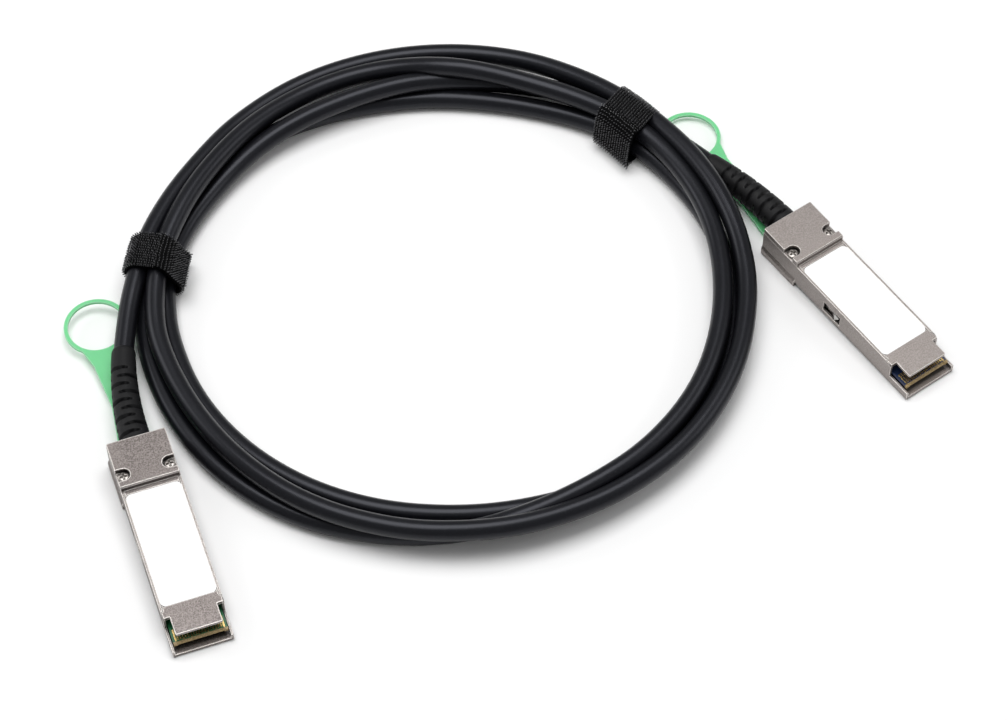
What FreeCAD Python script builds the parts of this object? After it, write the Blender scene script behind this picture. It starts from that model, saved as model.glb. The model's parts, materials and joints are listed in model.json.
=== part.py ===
import FreeCAD, Part
import math
import os

V = FreeCAD.Vector

# Direct attach copper cable: two pluggable module ends joined by a wound cable.
# Units are millimetres.  The whole object stands on the plane z = 0.
#
# Each plug is built in its own frame: x points forward out of the mouth, y to
# its left, z up; x = 0 is the front edge of its floor and z = 0 its underside.

# ---------------------------------------------------------------- plug body
BODY_WIDTH = 18.35
BODY_HEIGHT = 8.5
BODY_LENGTH = 70.4
FLOOR_PLATE = 1.2
WALL = 0.75
LIP_LENGTH = 8.4          # low side lips ahead of the full-height walls
LIP_HEIGHT = 3.0
WALL_CHAMFER = 1.1        # bevel on the top front corner of each wall
BODY_ROUND = 0.5          # rounding of the long bottom edges

HEAD_LENGTH = 16.4        # rear part that stays outside the host's cage
HEAD_RISE = 2.0           # the cover's raised part above the deck
HEAD_HALF_WIDTH = 9.12
HEAD_ROUND = 0.35
FOOT_DEPTH = 1.1          # rails under the head
FOOT_FLARE = 0.55
FOOT_FLARE_TOP = 2.2
FOOT_FLARE_BOTTOM = 0.8
FOOT_BAR = 6.2            # length of the solid bar ahead of the slider's recess

# ---------------------------------------------------------------- cover
COVER_PLATE = 1.2
COVER_GAP = 0.1           # seam between the cover and the walls
NOSE_SETBACK = 2.2
NOSE_WIDTH = 14.1
NOSE_PLATE = 0.9
NOSE_ROUND = 0.45
EAR_LENGTH = 2.4          # ears of the cover over the wall ends
EAR_INSET = 0.25
EAR_DEPTH = 1.1
STEP_BEVEL = 0.35
HOLD_DOWN_WIDTH = 1.0
HOLD_DOWN_GAP = 0.05

# ---------------------------------------------------------------- label
LABEL_FRONT = 12.6
LABEL_HEAD_GAP = 2.0      # bare deck between the label and the raised head
LABEL_WIDTH = 16.2
LABEL_THICK = 0.15
LABEL_ROUND = 1.5
RECESS_DEPTH = 0.2
RECESS_MARGIN = 0.4

# ---------------------------------------------------------------- screws
SCREW_FROM_REAR = 12.0
SCREW_OFFSET = 7.06       # from the middle line
SCREW_HEAD_R = 1.75
SCREW_HEAD_HEIGHT = 0.95
SCREW_BEVEL = 0.6
SCREW_SHANK_R = 0.8
SCREW_HOLE_R = 0.85
SCREW_POCKET_R = 2.1
POCKET_FLOOR = 0.1        # pocket floor above the deck
SCREW_TIP = 4.6
SCREW_HOLE_BOTTOM = 4.2

# ---------------------------------------------------------------- card
CARD_FRONT = 1.6
CARD_WIDTH = 16.3
CARD_THICK = 1.0
CARD_BOTTOM = 3.3
CARD_WIDE_END = 31.0      # the card is narrower behind this
CARD_REAR_WIDTH = 13.0
CARD_HEAD_GAP = 8.5       # between the card and the head block
CARD_BEVEL = 0.9
CARD_BEVEL_DEPTH = 0.4
CARD_FOOT = 1.2           # unbevelled corners
CARD_PEG_X = 13.5
CARD_PEG_R = 0.6
CARD_PEG_GAP = 0.1
LEDGE_FRONT = 10.0
LEDGE_REAR = 30.0
LEDGE_WIDTH = 1.3
REAR_POST_INSET = 6.5     # from the card's rear edge
REAR_POST_SIZE = 2.0
REAR_POST_OFFSET = 4.0

CHIP_REAR = 26.0
CHIP_LENGTH = 4.0
CHIP_WIDTH = 5.0
CHIP_HEIGHT = 1.1
SMALL_PART_LENGTH = 1.6
SMALL_PART_WIDTH = 0.8
SMALL_PART_HEIGHT = 0.5

CONTACT_COUNT = 19
CONTACT_PITCH = 0.8
CONTACT_WIDTH = 0.54
CONTACT_THICK = 0.05
CONTACT_FRONT = 2.8
CONTACT_LENGTH = 3.8
CONTACT_STAGGER = 0.5     # every third finger starts this much further forward

# ---------------------------------------------------------------- cable
CABLE_D = 6.3
CABLE_AXIS = 5.1          # height of the cable's axis in the plug
BUTT_GAP = 0.35           # between the cable in the boot and the loose cable
CABLE_END_FROM_REAR = 10.4
PAIRS_PER_ROW = 4
PAIR_WIDTH = 0.95
PAIR_HEIGHT = 0.8
PAIR_PITCH_CARD = 2.6
PAIR_PITCH_CABLE = 1.05
PAIR_ROW_CABLE = 0.55
PAIR_OVERLAP = 2.0        # length of each pair laid on the card

FERRULE_FRONT_FROM_REAR = 13.4
FERRULE_REAR_FROM_REAR = 4.4
FERRULE_R = 4.2
FERRULE_GAP = 0.1
FERRULE_BORE_GAP = 0.05
FERRULE_COLLAR = 1.5

# ---------------------------------------------------------------- boot
BOOT_R = 4.9
BOOT_TAIL_R = 4.5
BOOT_LIP_R = 3.65         # at the boot's very end
BOOT_LENGTH = 35.0
BOOT_NOSE = 5.0           # length of the steeper taper at its end
BOOT_SOCKET = 3.6
BOOT_SOCKET_GAP = 0.05
BOOT_BORE_GAP = 0.1
BOOT_KEY_REACH = 1.2
BOOT_KEY_HEIGHT = 2.0
BOOT_KEY_LENGTH = 1.8
BOOT_STATIONS = 5         # along the boot's gentle taper
BOOT_SIDES = 18           # flats round the boot
SLOT_ROWS = 8
SLOT_FIRST = 3.5
SLOT_PITCH = 3.3
SLOT_WIDTH = 1.0
SLOTS_PER_ROW = 2
SLOT_FLOOR = 3.65         # distance of each slot's floor from the axis
SLOT_SPAN = 120.0         # angle that each slot runs round the boot
SLOT_FLATS = 6
SLOT_PHASE = 45.0         # bearing of the first row's first slot

# ---------------------------------------------------------------- latch slider
TRAVEL = 3.0
STEEL = 0.4
BRIDGE_FRONT_FROM_REAR = 9.9
BRIDGE_REAR_FROM_REAR = 4.4
BRIDGE_TOP = -0.1
FLANGE_LENGTH = 4.0
ARM_OFFSET = 7.8          # middle of the arm's sheet from the middle line
ARM_BOTTOM = 2.0
ARM_HEIGHT = 1.4
ARM_TIP = 33.4
ARM_BEND = 37.2
ARM_RAMP_END = 35.0
ARM_RAMP_REACH = 1.05
TIP_BOTTOM = 2.0
TIP_HEIGHT = 2.9
SPRING_TAB_HEAD_GAP = 7.0
SPRING_TAB_INNER = 4.9
SPRING_TAB_HEIGHT = 2.0
SLIDE_GAP = 0.3
CHANNEL_INNER = 7.2
CHANNEL_HEIGHT = 2.5
WINDOW_FRONT = 32.4
WINDOW_REAR = 40.3
WINDOW_BOTTOM = 1.7
WINDOW_TOP = 5.6

SPRING_OFFSET = 6.1
SPRING_AXIS_Z = 2.75
SPRING_R = 1.0
SPRING_WIRE_R = 0.17
SPRING_TURNS = 4
SPRING_STEPS = 8          # straight pieces in each turn of the wire
SPRING_END_GAP = 0.05
SPRING_PEG_R = 0.55
SPRING_PEG_LENGTH = 2.0

# ---------------------------------------------------------------- pull tab
TAB_THICK = 0.9
TAB_BOTTOM = -1.0
TAB_LAP_FROM_REAR = 9.4
TAB_ROOT_HALF = 5.6
TAB_WAIST_HALF = 3.2
TAB_WAIST_BEYOND = 19.6   # beyond the body's rear end
TAB_FLARE_HALF = 4.5
TAB_FLARE_BEYOND = 35.1
RING_BEYOND = 49.3
RING_R = 10.1
RING_BAND = 1.3
RING_JOIN = 40.0          # bearing on the ring where the strip meets it
TAB_PEG_R = 0.8
TAB_PEG_GAP = 0.05
TAB_PEG_OFFSET = 3.2
TAB_PEG_FROM_REAR = 7.0

# ---------------------------------------------------------------- layout
# Rear end of each plug's body on the plan, its heading, a point that its boot
# bends towards, and how far its pull tab rises from the plug's own slope.
PLUGS = {
    "a": {
        "rear": V(-110.89, -31.36, 0.0),
        "yaw": -72.05,
        "boot_aim": V(-116.55, 6.93, 7.6),
        "tab_rise": 1.8,
    },
    "b": {
        "rear": V(88.99, 45.13, 0.0),
        "yaw": -55.8,
        "boot_aim": V(67.25, 75.52, 6.9),
        "tab_rise": 0.0,
    },
}

# Points of the loose cable between each boot and the coil, after the boot's end.
TAIL_POINTS = {
    "a": [V(-116.25, 17.63, 8.0), V(-114.15, 29.22, 9.0)],
    "b": [V(61.1, 82.5, 6.6), V(51.6, 88.1, 6.4)],
}

# Middle line of the wound bundle: bearing and distance from the coil's centre.
COIL_CENTRE = V(-20.05, 31.02, 0.0)
COIL_CORNERS = [
    (44.8, 86.8), (76.0, 86.4), (110.0, 87.4), (142.0, 89.6), (176.0, 91.8),
    (205.0, 90.3), (237.0, 94.8), (268.0, 95.4), (300.0, 96.4), (330.0, 95.4),
    (358.0, 92.4), (382.0, 87.6),
]
STRAP_CORNERS = {"strap_right": 0, "strap_left": 4}
CORNER_FILL = 0.45        # share of the shorter run used by each corner's arc

STRAND_PITCH = 6.5        # sideways distance of the strands in one layer
LAYER_LEAN = 3.3          # the upper layer's shift away from the coil's centre
LAYER_RISE = 5.45
CORNER_FLATS = 1          # flats that round each corner of the bundle's section

STRAP_WIDTH = 13.0
STRAP_THICK = 1.2
STRAP_GAP = 0.15
STRAP_FLAP = 1.0          # the overlapping end
STRAP_FLAP_BOTTOM = 4.0
STRAP_FLAP_START = 0.6
FLAP_LIMIT = 30.0         # beyond the band on every side

# ---------------------------------------------------------------- derived
HALF_WIDTH = BODY_WIDTH / 2
INNER_HALF = HALF_WIDTH - WALL
COVER_HALF = INNER_HALF - COVER_GAP
HEAD_FRONT = BODY_LENGTH - HEAD_LENGTH
LABEL_LENGTH = HEAD_FRONT - LABEL_HEAD_GAP - LABEL_FRONT
SCREW_SETBACK = BODY_LENGTH - SCREW_FROM_REAR
CARD_REAR = HEAD_FRONT - CARD_HEAD_GAP
REAR_POST_X = CARD_REAR - REAR_POST_INSET
CABLE_END_X = BODY_LENGTH - CABLE_END_FROM_REAR
FERRULE_FRONT = BODY_LENGTH - FERRULE_FRONT_FROM_REAR
FERRULE_REAR = BODY_LENGTH - FERRULE_REAR_FROM_REAR
BRIDGE_FRONT = BODY_LENGTH - BRIDGE_FRONT_FROM_REAR
BRIDGE_REAR = BODY_LENGTH - BRIDGE_REAR_FROM_REAR
SPRING_TAB_X = HEAD_FRONT - SPRING_TAB_HEAD_GAP
TAB_LAP_FRONT = BODY_LENGTH - TAB_LAP_FROM_REAR
TAB_PEG_X = BODY_LENGTH - TAB_PEG_FROM_REAR
TAB_WAIST_X = BODY_LENGTH + TAB_WAIST_BEYOND
TAB_FLARE_X = BODY_LENGTH + TAB_FLARE_BEYOND
RING_X = BODY_LENGTH + RING_BEYOND
SPLIT_Z = BODY_HEIGHT - COVER_PLATE
HEAD_TOP = BODY_HEIGHT + HEAD_RISE
CARD_TOP = CARD_BOTTOM + CARD_THICK
CABLE_R = CABLE_D / 2
FERRULE_INNER_R = CABLE_R + FERRULE_BORE_GAP
SADDLE_R = FERRULE_R + FERRULE_GAP
SOCKET_R = BOOT_R + BOOT_SOCKET_GAP
SOCKET_FRONT = BODY_LENGTH - BOOT_SOCKET
BRIDGE_BOTTOM = BRIDGE_TOP - STEEL
RECESS_FRONT = HEAD_FRONT + FOOT_BAR
FLANGE_HALF = ARM_OFFSET + STEEL / 2
SLOPE = math.degrees(math.asin(FOOT_DEPTH / HEAD_FRONT))
COIL_BASE = STRAP_THICK + STRAP_GAP
LOW_Z = COIL_BASE + CABLE_R
HIGH_Z = LOW_Z + LAYER_RISE
CUT = 1.0                 # how far cutting tools run past what they cut


# ---------------------------------------------------------------- helpers
def span_box(x0, x1, y0, y1, z0, z1):
    """Box between two corners given as spans."""
    size = (x1 - x0, y1 - y0, z1 - z0)
    return Part.makeBox(size[0], size[1], size[2], V(x0, y0, z0))


def both_sides(x0, x1, y0, y1, z0, z1):
    """The same box on the left side and on the right side."""
    left = span_box(x0, x1, y0, y1, z0, z1)
    right = span_box(x0, x1, -y1, -y0, z0, z1)
    return [left, right]


def mirrored(shape):
    """The shape's twin on the other side of the middle plane."""
    return shape.mirror(V(0, 0, 0), V(0, 1, 0))


def prism(points, direction):
    """Closed polygon swept along a straight direction."""
    wire = Part.makePolygon(points + [points[0]])
    return Part.Face(wire).extrude(direction)


def rod(radius, x_front, x_rear, y=0.0, z=CABLE_AXIS):
    """Cylinder along the plug's x axis, from x = -x_front back to x = -x_rear."""
    length = x_rear - x_front
    return Part.makeCylinder(radius, length, V(-x_rear, y, z), V(1, 0, 0))


def fillet_edges(shape, radius, picks):
    """Round the edges whose middle point satisfies the given test."""
    chosen = [e for e in shape.Edges if picks(e.CenterOfMass, e)]
    return shape.makeFillet(radius, chosen) if chosen else shape


def is_vertical(edge):
    box = edge.BoundBox
    return box.ZLength > 10 * max(box.XLength, box.YLength)


# ---------------------------------------------------------------- base shell
def body_blank():
    """Outer block of the shell with rounded long bottom edges."""
    block = span_box(-BODY_LENGTH, 0, -HALF_WIDTH, HALF_WIDTH, 0, BODY_HEIGHT)

    def long_bottom(mid, edge):
        return edge.BoundBox.XLength > BODY_LENGTH / 2 and mid.z < CUT

    return fillet_edges(block, BODY_ROUND, long_bottom)


def foot_rails():
    """Flared foot under the head, open behind for the slider and its tab."""
    wide = HALF_WIDTH + FOOT_FLARE
    outline = [
        (HALF_WIDTH, FOOT_FLARE_TOP), (wide, FOOT_FLARE_BOTTOM), (wide, -FOOT_DEPTH),
        (-wide, -FOOT_DEPTH), (-wide, FOOT_FLARE_BOTTOM), (-HALF_WIDTH, FOOT_FLARE_TOP),
    ]
    points = [V(-BODY_LENGTH, y, z) for y, z in outline]
    foot = prism(points, V(HEAD_LENGTH, 0, 0))
    foot = fillet_edges(foot, HEAD_ROUND, lambda mid, e: is_vertical(e))
    recess_half = FLANGE_HALF + SLIDE_GAP
    recess = span_box(-BODY_LENGTH - CUT, -RECESS_FRONT + SLIDE_GAP,
                      -recess_half, recess_half, -FOOT_DEPTH - CUT, 0)
    return foot.cut(recess)


def shell_interior():
    """What is hollow inside the shell, ahead of the head block."""
    cavity = span_box(-HEAD_FRONT, CUT, -INNER_HALF, INNER_HALF,
                      FLOOR_PLATE, BODY_HEIGHT + CUT)
    head_seat = span_box(-BODY_LENGTH - CUT, -HEAD_FRONT, -INNER_HALF, INNER_HALF,
                         SPLIT_Z, BODY_HEIGHT + CUT)
    mouth = span_box(-LIP_LENGTH, CUT, -HALF_WIDTH - CUT, HALF_WIDTH + CUT,
                     LIP_HEIGHT, BODY_HEIGHT + CUT)
    return [cavity, head_seat, mouth]


def wall_bevels():
    """Bevels on the top front corners of the side walls."""
    corner = V(-LIP_LENGTH, -HALF_WIDTH - CUT, BODY_HEIGHT)
    points = [corner + V(0, 0, CUT), corner + V(0, 0, -WALL_CHAMFER),
              corner + V(-WALL_CHAMFER, 0, 0), corner + V(-WALL_CHAMFER, 0, CUT)]
    return prism(points, V(0, BODY_WIDTH + 2 * CUT, 0))


def latch_openings():
    """Channels for the arms, slots for the flanges and windows for the tips."""
    outer = FLANGE_HALF + SLIDE_GAP
    inner = FLANGE_HALF - STEEL - SLIDE_GAP
    slot_rear = BRIDGE_FRONT + FLANGE_LENGTH + TRAVEL + SLIDE_GAP
    slot_front = BRIDGE_FRONT - SLIDE_GAP
    channels = both_sides(-slot_rear, -HEAD_FRONT + CUT, CHANNEL_INNER, outer,
                          FLOOR_PLATE, FLOOR_PLATE + CHANNEL_HEIGHT)
    slots = both_sides(-slot_rear, -slot_front, inner, outer, -CUT, FLOOR_PLATE + CUT)
    windows = both_sides(-WINDOW_REAR, -WINDOW_FRONT, INNER_HALF - CUT, HALF_WIDTH + CUT,
                         WINDOW_BOTTOM, WINDOW_TOP)
    return channels + slots + windows


def cable_seat(front):
    """Saddle for the ferrule and socket for the boot with its two keys."""
    saddle = rod(SADDLE_R, front, SOCKET_FRONT + CUT)
    socket = rod(SOCKET_R, SOCKET_FRONT, BODY_LENGTH + CUT)
    key_front = SOCKET_FRONT + BOOT_SOCKET_GAP
    key_rear = SOCKET_FRONT + BOOT_KEY_LENGTH + 2 * BOOT_SOCKET_GAP
    key_reach = BOOT_R + BOOT_KEY_REACH + BOOT_SOCKET_GAP
    half = BOOT_KEY_HEIGHT / 2 + BOOT_SOCKET_GAP
    keys = span_box(-key_rear, -key_front, -key_reach, key_reach,
                    CABLE_AXIS - half, CABLE_AXIS + half)
    return [saddle, socket, keys]


def card_supports():
    """Ledges with locating pegs at the sides and two posts at the rear."""
    made = both_sides(-LEDGE_REAR, -LEDGE_FRONT, INNER_HALF - LEDGE_WIDTH, INNER_HALF,
                      FLOOR_PLATE, CARD_BOTTOM)
    half = REAR_POST_SIZE / 2
    made += both_sides(-REAR_POST_X - half, -REAR_POST_X + half,
                       REAR_POST_OFFSET - half, REAR_POST_OFFSET + half,
                       FLOOR_PLATE, CARD_BOTTOM)
    for side in (-1, 1):
        foot = V(-CARD_PEG_X, side * CARD_WIDTH / 2, FLOOR_PLATE)
        made.append(Part.makeCylinder(CARD_PEG_R, CARD_TOP - FLOOR_PLATE, foot))
    return made


def spring_pegs():
    """Pegs on the head block that the latch springs sit on."""
    pegs = []
    for side in (-1, 1):
        pegs.append(rod(SPRING_PEG_R, HEAD_FRONT - SPRING_PEG_LENGTH, HEAD_FRONT + CUT,
                        side * SPRING_OFFSET, SPRING_AXIS_Z))
    return pegs


def screw_holes():
    holes = []
    depth = SPLIT_Z + CUT - SCREW_HOLE_BOTTOM
    for side in (-1, 1):
        foot = V(-SCREW_SETBACK, side * SCREW_OFFSET, SCREW_HOLE_BOTTOM)
        holes.append(Part.makeCylinder(SCREW_HOLE_R, depth, foot))
    return holes


def ear_seats():
    """Notches in the wall tops that take the cover's ears."""
    gap = COVER_GAP
    return both_sides(-LIP_LENGTH - EAR_LENGTH - gap, -LIP_LENGTH + CUT,
                      INNER_HALF - CUT, HALF_WIDTH - EAR_INSET + gap,
                      BODY_HEIGHT - EAR_DEPTH - gap, BODY_HEIGHT + CUT)


def base_shell():
    shell = body_blank().fuse([foot_rails()])
    shell = shell.cut(shell_interior() + [wall_bevels()])
    shell = shell.fuse(card_supports())
    shell = shell.cut(latch_openings() + cable_seat(HEAD_FRONT - CUT) + screw_holes() + ear_seats())
    shell = shell.fuse(spring_pegs())
    return shell.removeSplitter()


# ---------------------------------------------------------------- top cover
def cover_nose():
    """Thin tongue over the card's front."""
    half = NOSE_WIDTH / 2
    nose = span_box(-LIP_LENGTH - CUT, -NOSE_SETBACK, -half, half,
                    BODY_HEIGHT - NOSE_PLATE, BODY_HEIGHT)
    return fillet_edges(nose, NOSE_ROUND,
                        lambda mid, e: is_vertical(e) and mid.x > -LIP_LENGTH)


def cover_head():
    """Raised rear part with a bevelled step and rounded rear corners."""
    head = span_box(-BODY_LENGTH, -HEAD_FRONT, -HEAD_HALF_WIDTH, HEAD_HALF_WIDTH,
                    BODY_HEIGHT, HEAD_TOP)
    head = fillet_edges(head, HEAD_ROUND,
                        lambda mid, e: is_vertical(e) and mid.x < -HEAD_FRONT - CUT)
    step = [e for e in head.Edges
            if e.CenterOfMass.z > HEAD_TOP - 0.01 and e.CenterOfMass.x > -HEAD_FRONT - 0.01]
    return head.makeChamfer(STEP_BEVEL, step)


def screw_pockets():
    """Round pockets, open to the sides, with clearance holes for the shanks."""
    tools = []
    floor = BODY_HEIGHT + POCKET_FLOOR
    for side in (-1, 1):
        middle = V(-SCREW_SETBACK, side * SCREW_OFFSET, floor)
        tools.append(Part.makeCylinder(SCREW_POCKET_R, HEAD_RISE + CUT, middle))
        hole = V(-SCREW_SETBACK, side * SCREW_OFFSET, SPLIT_Z - CUT)
        tools.append(Part.makeCylinder(SCREW_HOLE_R, COVER_PLATE + 2 * CUT, hole))
    tools += both_sides(-SCREW_SETBACK - SCREW_POCKET_R, -SCREW_SETBACK + SCREW_POCKET_R,
                        SCREW_OFFSET, HALF_WIDTH + CUT, floor, HEAD_TOP + CUT)
    return tools


def top_cover():
    deck = span_box(-BODY_LENGTH, -LIP_LENGTH, -COVER_HALF, COVER_HALF,
                    SPLIT_Z, BODY_HEIGHT)
    ears = both_sides(-LIP_LENGTH - EAR_LENGTH, -LIP_LENGTH, COVER_HALF - CUT,
                      HALF_WIDTH - EAR_INSET, BODY_HEIGHT - EAR_DEPTH, BODY_HEIGHT)
    ears = [fillet_edges(ear, EAR_INSET, lambda mid, e: is_vertical(e) and
                         abs(mid.y) > COVER_HALF + EAR_INSET) for ear in ears]
    hold_downs = both_sides(-LEDGE_REAR, -LEDGE_FRONT, INNER_HALF - LEDGE_WIDTH - HOLD_DOWN_WIDTH,
                            INNER_HALF - LEDGE_WIDTH, CARD_TOP + HOLD_DOWN_GAP, SPLIT_Z)
    cover = deck.fuse(ears + hold_downs + [cover_nose(), cover_head()])
    recess = span_box(-LABEL_FRONT - LABEL_LENGTH - RECESS_MARGIN,
                      -LABEL_FRONT + RECESS_MARGIN, -HALF_WIDTH, HALF_WIDTH,
                      BODY_HEIGHT - RECESS_DEPTH, BODY_HEIGHT + CUT)
    seat = cable_seat(FERRULE_FRONT - FERRULE_GAP)
    cover = cover.cut([recess] + screw_pockets() + seat)
    return cover.removeSplitter()


def label():
    base = BODY_HEIGHT - RECESS_DEPTH
    half = LABEL_WIDTH / 2
    sheet = span_box(-LABEL_FRONT - LABEL_LENGTH, -LABEL_FRONT, -half, half,
                     base, base + LABEL_THICK)
    return fillet_edges(sheet, LABEL_ROUND, lambda mid, e: e.BoundBox.ZLength > LABEL_THICK / 2)


# ---------------------------------------------------------------- screws
def cover_screw(side):
    """Pan-head screw through the cover into the head block."""
    seat = BODY_HEIGHT + POCKET_FLOOR
    crown = seat + SCREW_HEAD_HEIGHT
    outline = [V(0, 0, SCREW_TIP), V(SCREW_SHANK_R, 0, SCREW_TIP), V(SCREW_SHANK_R, 0, seat),
               V(SCREW_HEAD_R, 0, seat), V(SCREW_HEAD_R, 0, crown - SCREW_BEVEL / 2),
               V(SCREW_HEAD_R - SCREW_BEVEL, 0, crown), V(0, 0, crown)]
    wire = Part.makePolygon(outline + [outline[0]])
    screw = Part.Face(wire).revolve(V(0, 0, 0), V(0, 0, 1), 360)
    screw.translate(V(-SCREW_SETBACK, side * SCREW_OFFSET, 0))
    return screw


# ---------------------------------------------------------------- card
def card_bevel(top):
    """Wedge that bevels the card's leading edge between its square corners."""
    half = CARD_WIDTH / 2 - CARD_FOOT
    level = CARD_TOP if top else CARD_BOTTOM
    inward = -CARD_BEVEL_DEPTH if top else CARD_BEVEL_DEPTH
    front = -CARD_FRONT
    points = [V(front + CUT, -half, level), V(front + CUT, -half, level + inward),
              V(front, -half, level + inward), V(front - CARD_BEVEL, -half, level),
              V(front - CARD_BEVEL, -half, level - inward), V(front + CUT, -half, level - inward)]
    return prism(points, V(0, 2 * half, 0))


def paddle_card():
    """Circuit card, stepped narrower behind, notched at the locating pegs."""
    wide = CARD_WIDTH / 2
    narrow = CARD_REAR_WIDTH / 2
    outline = [(-CARD_FRONT, -wide), (-CARD_FRONT, wide), (-CARD_WIDE_END, wide),
               (-CARD_WIDE_END, narrow), (-CARD_REAR, narrow), (-CARD_REAR, -narrow),
               (-CARD_WIDE_END, -narrow), (-CARD_WIDE_END, -wide)]
    points = [V(x, y, CARD_BOTTOM) for x, y in outline]
    card = prism(points, V(0, 0, CARD_THICK))
    notches = []
    for side in (-1, 1):
        foot = V(-CARD_PEG_X, side * wide, CARD_BOTTOM - CUT)
        notches.append(Part.makeCylinder(CARD_PEG_R + CARD_PEG_GAP, CARD_THICK + 2 * CUT, foot))
    return card.cut(notches + [card_bevel(True), card_bevel(False)])


def card_contacts():
    """Gold fingers on both faces behind the bevel."""
    fingers = []
    middle = (CONTACT_COUNT - 1) / 2
    half = CONTACT_WIDTH / 2
    for number in range(CONTACT_COUNT):
        y = (number - middle) * CONTACT_PITCH
        front = CONTACT_FRONT - (CONTACT_STAGGER / 2 if number % 3 == 0 else 0)
        rear = CONTACT_FRONT + CONTACT_LENGTH
        fingers.append(span_box(-rear, -front, y - half, y + half,
                                CARD_TOP, CARD_TOP + CONTACT_THICK))
        fingers.append(span_box(-rear, -front, y - half, y + half,
                                CARD_BOTTOM - CONTACT_THICK, CARD_BOTTOM))
    return Part.makeCompound(fingers)


def card_components():
    """Memory chip and four small parts on the card's upper face."""
    half = CHIP_WIDTH / 2
    parts = [span_box(-CHIP_REAR, -CHIP_REAR + CHIP_LENGTH, -half, half,
                      CARD_TOP, CARD_TOP + CHIP_HEIGHT)]
    for x in (-CHIP_REAR - CHIP_LENGTH, -CHIP_REAR + 1.5 * CHIP_LENGTH):
        parts += both_sides(x, x + SMALL_PART_LENGTH, half - SMALL_PART_WIDTH, half,
                            CARD_TOP, CARD_TOP + SMALL_PART_HEIGHT)
    return Part.makeCompound(parts)


def pair_section(x, y, z):
    """Flat six-sided section of one shielded pair, across the plug's axis."""
    half = PAIR_WIDTH / 2
    flat = half - PAIR_HEIGHT / 4
    high = PAIR_HEIGHT / 2
    corners = [V(x, y + dy, z + dz) for dy, dz in (
        (-half, 0), (-flat, high), (flat, high), (half, 0), (flat, -high), (-flat, -high))]
    return Part.makePolygon(corners + [corners[0]])


def inner_wires():
    """Eight shielded pairs running from the cable's end onto the card."""
    pairs = []
    middle = (PAIRS_PER_ROW - 1) / 2
    radius = PAIR_HEIGHT / 2
    on_card = -CARD_REAR + PAIR_OVERLAP
    for row in (-1, 1):
        card_z = CARD_TOP + radius if row > 0 else CARD_BOTTOM - radius
        cable_z = CABLE_AXIS + row * PAIR_ROW_CABLE
        for number in range(PAIRS_PER_ROW):
            y_card = (number - middle) * PAIR_PITCH_CARD
            y_cable = (number - middle) * PAIR_PITCH_CABLE
            sections = [pair_section(on_card, y_card, card_z),
                        pair_section(-CARD_REAR, y_card, card_z),
                        pair_section(-CABLE_END_X, y_cable, cable_z)]
            pairs.append(Part.makeLoft(sections, True, True))
    return Part.makeCompound(pairs)


def crimp_ferrule():
    """Ring with a round collar in front and a hexagonal crimp behind it."""
    collar = rod(FERRULE_R, FERRULE_FRONT, FERRULE_FRONT + FERRULE_COLLAR)
    corners = []
    for number in range(6):
        turn = math.radians(60 * number)
        corners.append(V(-FERRULE_REAR, FERRULE_R * math.cos(turn),
                         CABLE_AXIS + FERRULE_R * math.sin(turn)))
    crimp = prism(corners, V(FERRULE_REAR - FERRULE_FRONT, 0, 0))
    bore = rod(FERRULE_INNER_R, FERRULE_FRONT - CUT, FERRULE_REAR + CUT)
    return collar.fuse(crimp).cut(bore).removeSplitter()


# ---------------------------------------------------------------- latch
def arm_strip(bottom, height, x_rear, x_front, ramp):
    """One arm of the slider as a bent strip standing on edge."""
    inner = ARM_OFFSET - STEEL / 2
    outer = ARM_OFFSET + STEEL / 2
    if ramp:
        line = [(-x_rear, inner), (-ARM_BEND, inner), (-ARM_RAMP_END, inner + ARM_RAMP_REACH),
                (-x_front, inner + ARM_RAMP_REACH / 2), (-x_front, outer + ARM_RAMP_REACH / 2),
                (-ARM_RAMP_END, outer + ARM_RAMP_REACH), (-ARM_BEND, outer), (-x_rear, outer)]
    else:
        line = [(-x_rear, inner), (-x_front, inner), (-x_front, outer), (-x_rear, outer)]
    return prism([V(x, y, bottom) for x, y in line], V(0, 0, height))


def slider_side():
    """Flange, arm, arrow-shaped tip and spring tab of the left side."""
    flange_rear = BRIDGE_FRONT + FLANGE_LENGTH
    arm_top = ARM_BOTTOM + ARM_HEIGHT
    flange = arm_strip(BRIDGE_BOTTOM, arm_top - BRIDGE_BOTTOM, flange_rear, BRIDGE_FRONT, False)
    arm = arm_strip(ARM_BOTTOM, ARM_HEIGHT, flange_rear, ARM_TIP, True)
    tip = arm_strip(TIP_BOTTOM, TIP_HEIGHT, ARM_BEND, ARM_TIP, True)
    middle = TIP_BOTTOM + TIP_HEIGHT / 2
    keep = prism([V(-ARM_BEND - CUT, 0, ARM_BOTTOM), V(-ARM_RAMP_END, 0, ARM_BOTTOM),
                  V(-ARM_TIP, 0, middle), V(-ARM_RAMP_END, 0, TIP_BOTTOM + TIP_HEIGHT),
                  V(-ARM_BEND, 0, TIP_BOTTOM + TIP_HEIGHT), V(-ARM_BEND - CUT, 0, arm_top)],
                 V(0, HALF_WIDTH + CUT, 0))
    rear_part = span_box(-flange_rear - CUT, -ARM_BEND - CUT / 2, 0, HALF_WIDTH + CUT,
                         ARM_BOTTOM - CUT, BODY_HEIGHT)
    strip = arm.fuse(tip).common(keep.fuse(rear_part))
    tab = span_box(-SPRING_TAB_X, -SPRING_TAB_X + STEEL, SPRING_TAB_INNER,
                   ARM_OFFSET, ARM_BOTTOM, ARM_BOTTOM + SPRING_TAB_HEIGHT)
    root = span_box(-SPRING_TAB_X - STEEL, -SPRING_TAB_X + 2 * STEEL, ARM_OFFSET - STEEL / 2,
                    ARM_OFFSET + STEEL / 2, ARM_BOTTOM, ARM_BOTTOM + SPRING_TAB_HEIGHT)
    return flange.fuse([strip, tab, root])


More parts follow.
